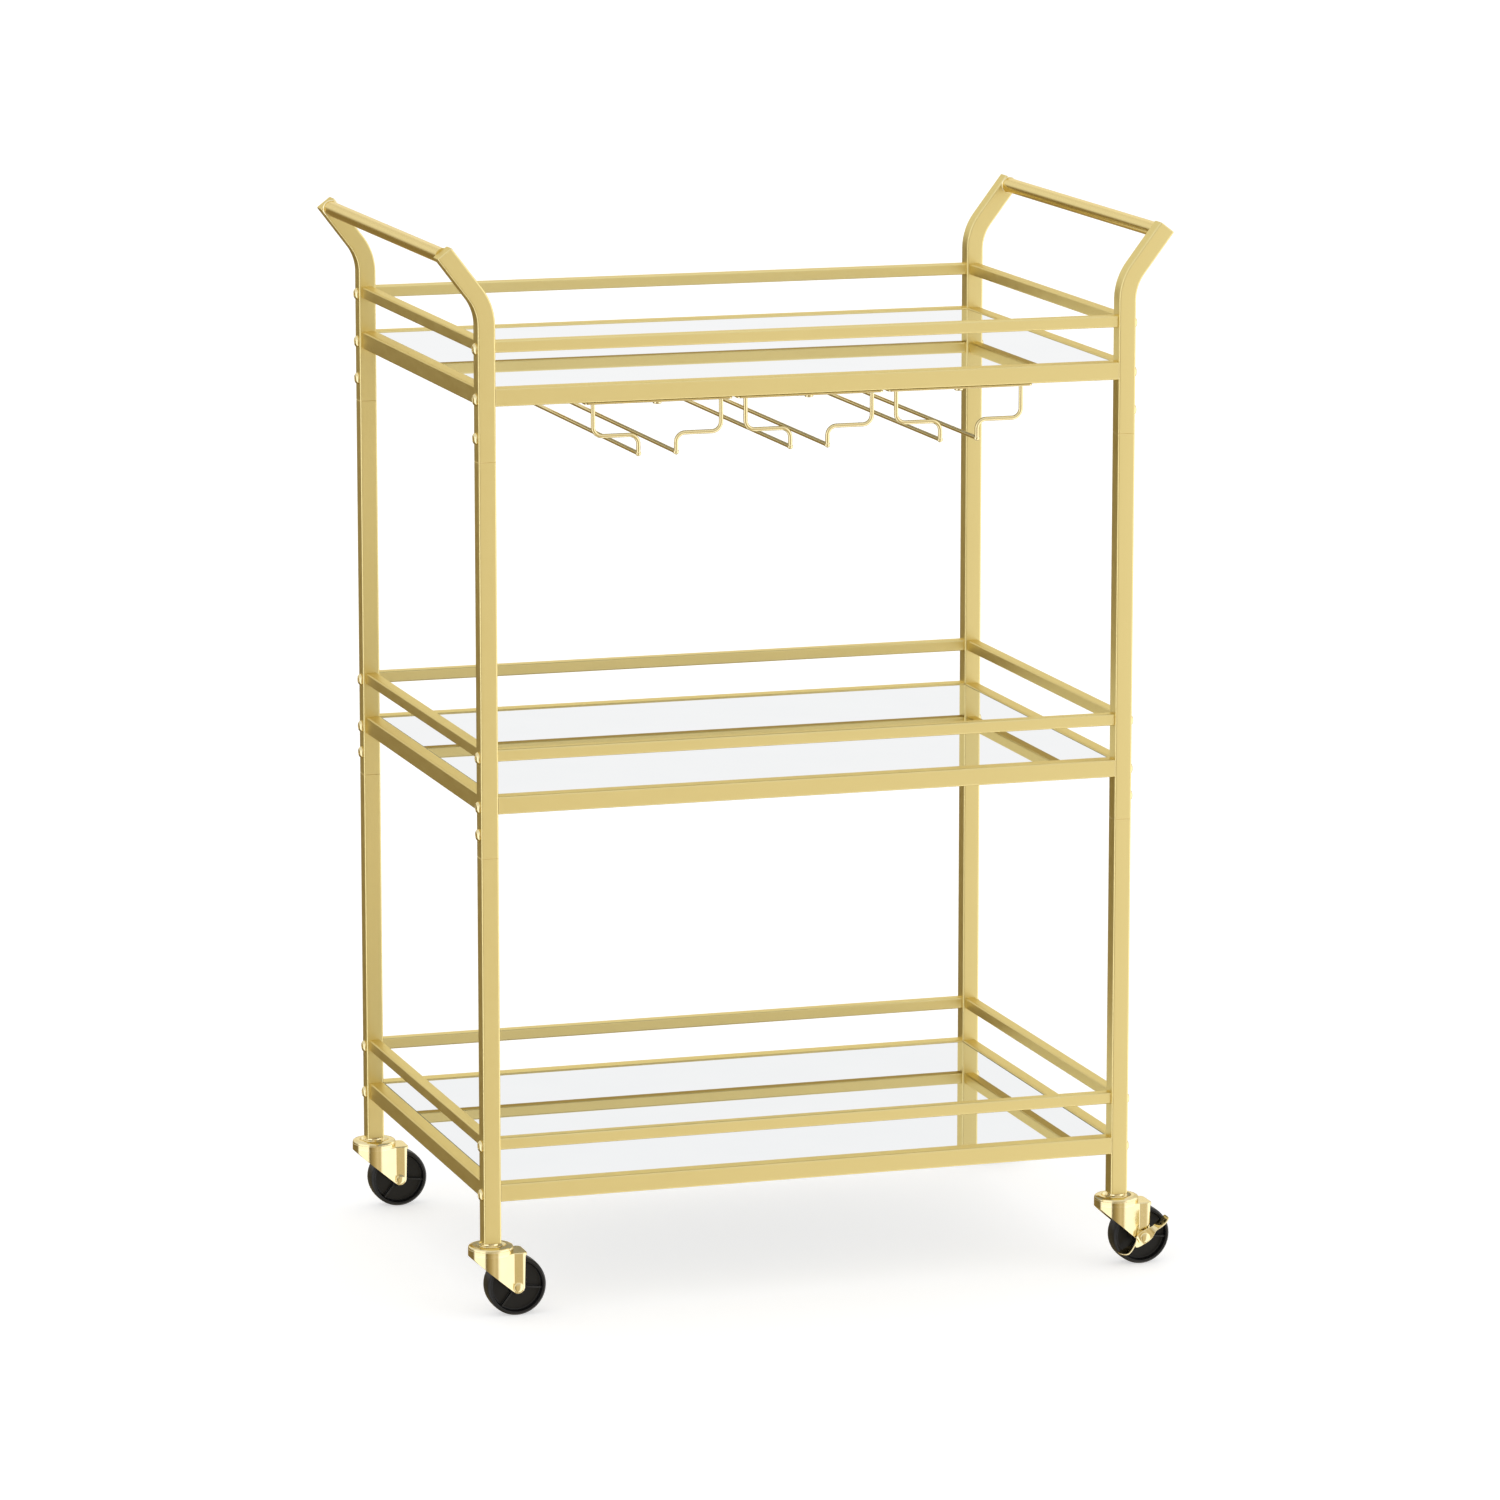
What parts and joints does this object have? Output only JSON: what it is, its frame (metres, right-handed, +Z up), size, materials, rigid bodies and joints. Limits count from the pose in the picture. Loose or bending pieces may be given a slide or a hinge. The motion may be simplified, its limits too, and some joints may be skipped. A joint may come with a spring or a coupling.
{
  "type": "bar cart",
  "caption": "Rolling bar cart: gold square-tube frame, mirror shelves inside guard rails, hanging stemware racks, outward-leaning push handles and small swivel casters, two braked.",
  "frame": {"origin": "on the floor under the middle of the cart", "axes": "+Z up, +X along the length towards the braked casters, -Y towards the front"},
  "size_m": [0.6432, 0.4247, 0.8975],
  "materials": {
    "satin_gold": "satin",
    "polished_gold": "polished",
    "mirror_glass": "polished",
    "black_plastic": "satin"
  },
  "bodies": {
    "frame": {"post_lower_front_left": "satin_gold", "post_middle_front_left": "satin_gold", "post_upper_front_left": "satin_gold", "post_lower_back_left": "satin_gold", "post_middle_back_left": "satin_gold", "post_upper_back_left": "satin_gold", "post_lower_front_right": "satin_gold", "post_middle_front_right": "satin_gold", "post_upper_front_right": "satin_gold", "post_lower_back_right": "satin_gold", "post_middle_back_right": "satin_gold", "post_upper_back_right": "satin_gold", "shelf_rail_bottom_front": "satin_gold", "guard_rail_bottom_front": "satin_gold", "shelf_rail_bottom_back": "satin_gold", "guard_rail_bottom_back": "satin_gold", "shelf_rail_bottom_left": "satin_gold", "guard_rail_bottom_left": "satin_gold", "shelf_rail_bottom_right": "satin_gold", "guard_rail_bottom_right": "satin_gold", "shelf_rail_middle_front": "satin_gold", "guard_rail_middle_front": "satin_gold", "shelf_rail_middle_back": "satin_gold", "guard_rail_middle_back": "satin_gold", "shelf_rail_middle_left": "satin_gold", "guard_rail_middle_left": "satin_gold", "shelf_rail_middle_right": "satin_gold", "guard_rail_middle_right": "satin_gold", "shelf_rail_top_front": "satin_gold", "guard_rail_top_front": "satin_gold", "shelf_rail_top_back": "satin_gold", "guard_rail_top_back": "satin_gold", "shelf_rail_top_left": "satin_gold", "guard_rail_top_left": "satin_gold", "shelf_rail_top_right": "satin_gold", "guard_rail_top_right": "satin_gold", "mirror_shelf_bottom": "mirror_glass", "mirror_shelf_middle": "mirror_glass", "mirror_shelf_top": "mirror_glass", "handle_bar_left": "satin_gold", "handle_bar_right": "satin_gold", "glass_rack_left": "polished_gold", "glass_rack_middle": "polished_gold", "glass_rack_right": "polished_gold", "caster_stem_front_left": "polished_gold", "caster_stem_back_left": "polished_gold", "caster_stem_front_right": "polished_gold", "caster_stem_back_right": "polished_gold"},
    "swivel_front_left": {"caster_fork_front_left": "polished_gold"},
    "wheel_front_left": {"caster_wheel_front_left": "black_plastic"},
    "swivel_back_left": {"caster_fork_back_left": "polished_gold"},
    "wheel_back_left": {"caster_wheel_back_left": "black_plastic"},
    "swivel_front_right": {"caster_fork_front_right": "polished_gold"},
    "wheel_front_right": {"caster_wheel_front_right": "black_plastic"},
    "brake_front_right": {"brake_lever_front_right": "polished_gold"},
    "swivel_back_right": {"caster_fork_back_right": "polished_gold"},
    "wheel_back_right": {"caster_wheel_back_right": "black_plastic"},
    "brake_back_right": {"brake_lever_back_right": "polished_gold"}
  },
  "joints": [
    {"name": "swivel_front_left", "type": "hinge", "parent": "frame", "child": "swivel_front_left", "pos_m": [-0.27815, -0.1925, 0.0559], "axis": [0, 0, 1], "continuous": true},
    {"name": "roll_front_left", "type": "hinge", "parent": "swivel_front_left", "child": "wheel_front_left", "pos_m": [-0.25765, -0.1925, 0.0254], "axis": [0, 1, 0], "continuous": true},
    {"name": "swivel_back_left", "type": "hinge", "parent": "frame", "child": "swivel_back_left", "pos_m": [-0.27815, 0.1925, 0.0559], "axis": [0, 0, 1], "continuous": true},
    {"name": "roll_back_left", "type": "hinge", "parent": "swivel_back_left", "child": "wheel_back_left", "pos_m": [-0.25765, 0.1925, 0.0254], "axis": [0, 1, 0], "continuous": true},
    {"name": "swivel_front_right", "type": "hinge", "parent": "frame", "child": "swivel_front_right", "pos_m": [0.27815, -0.1925, 0.0559], "axis": [0, 0, 1], "continuous": true},
    {"name": "roll_front_right", "type": "hinge", "parent": "swivel_front_right", "child": "wheel_front_right", "pos_m": [0.29865, -0.1925, 0.0254], "axis": [0, 1, 0], "continuous": true},
    {"name": "brake_front_right", "type": "hinge", "parent": "swivel_front_right", "child": "brake_front_right", "pos_m": [0.29865, -0.1925, 0.0254], "axis": [0, 1, 0], "range_deg": [0, 25]},
    {"name": "swivel_back_right", "type": "hinge", "parent": "frame", "child": "swivel_back_right", "pos_m": [0.27815, 0.1925, 0.0559], "axis": [0, 0, 1], "continuous": true},
    {"name": "roll_back_right", "type": "hinge", "parent": "swivel_back_right", "child": "wheel_back_right", "pos_m": [0.29865, 0.1925, 0.0254], "axis": [0, 1, 0], "continuous": true},
    {"name": "brake_back_right", "type": "hinge", "parent": "swivel_back_right", "child": "brake_back_right", "pos_m": [0.29865, 0.1925, 0.0254], "axis": [0, 1, 0], "range_deg": [0, 25]}
  ]
}
